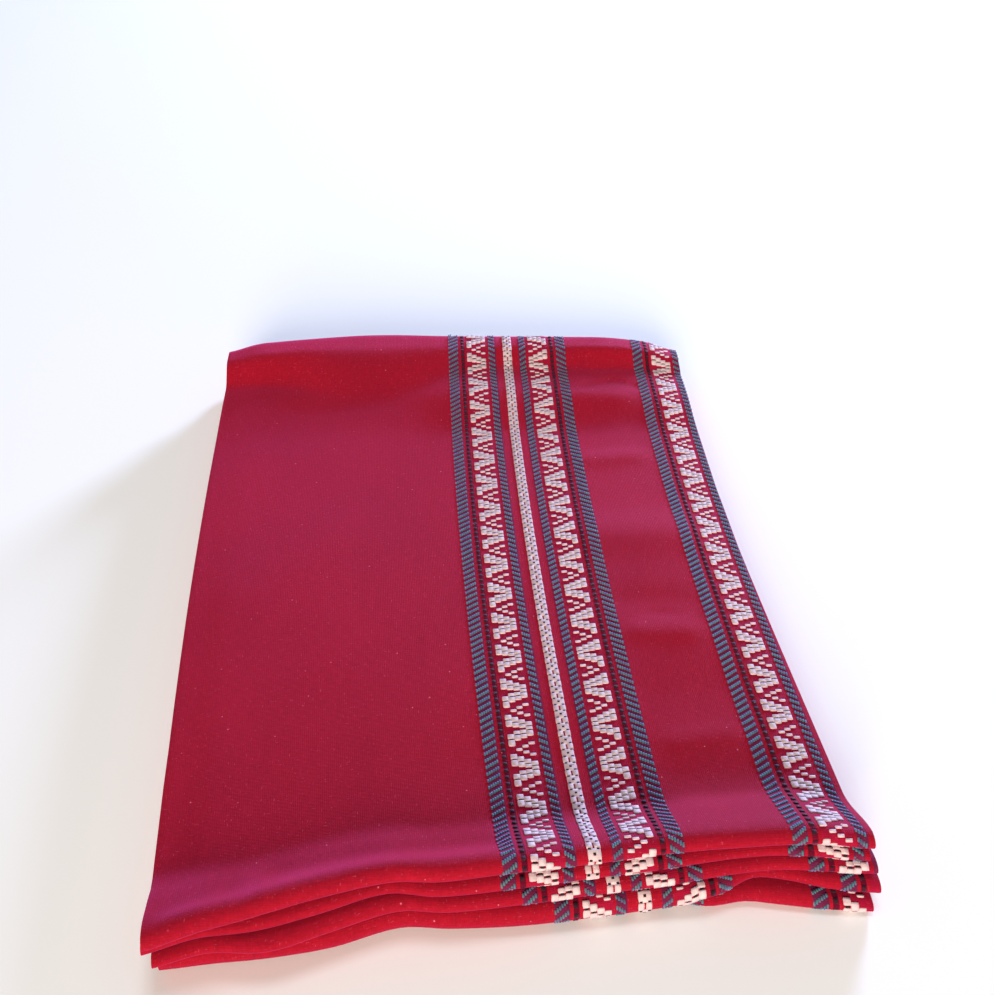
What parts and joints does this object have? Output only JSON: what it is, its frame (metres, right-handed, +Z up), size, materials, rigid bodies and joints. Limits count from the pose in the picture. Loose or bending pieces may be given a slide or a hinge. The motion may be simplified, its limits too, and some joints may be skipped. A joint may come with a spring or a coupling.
{
  "type": "folded tablecloth",
  "caption": "Heavy woven cotton tablecloth folded back and forth into a flat pile, with woven zigzag border bands along it.",
  "frame": {"origin": "on the table, under the middle of the pile", "axes": "+Z up; +Y along the pile, from the front folds to the back folds; +X to the right of someone at the front folds"},
  "size_m": [0.4416, 0.66, 0.0507],
  "materials": {
    "cloth": "deep red plain-weave cotton with raised teal, black and white woven bands"
  },
  "bodies": {
    "root": {"tablecloth": "cloth"}
  },
  "joints": []
}
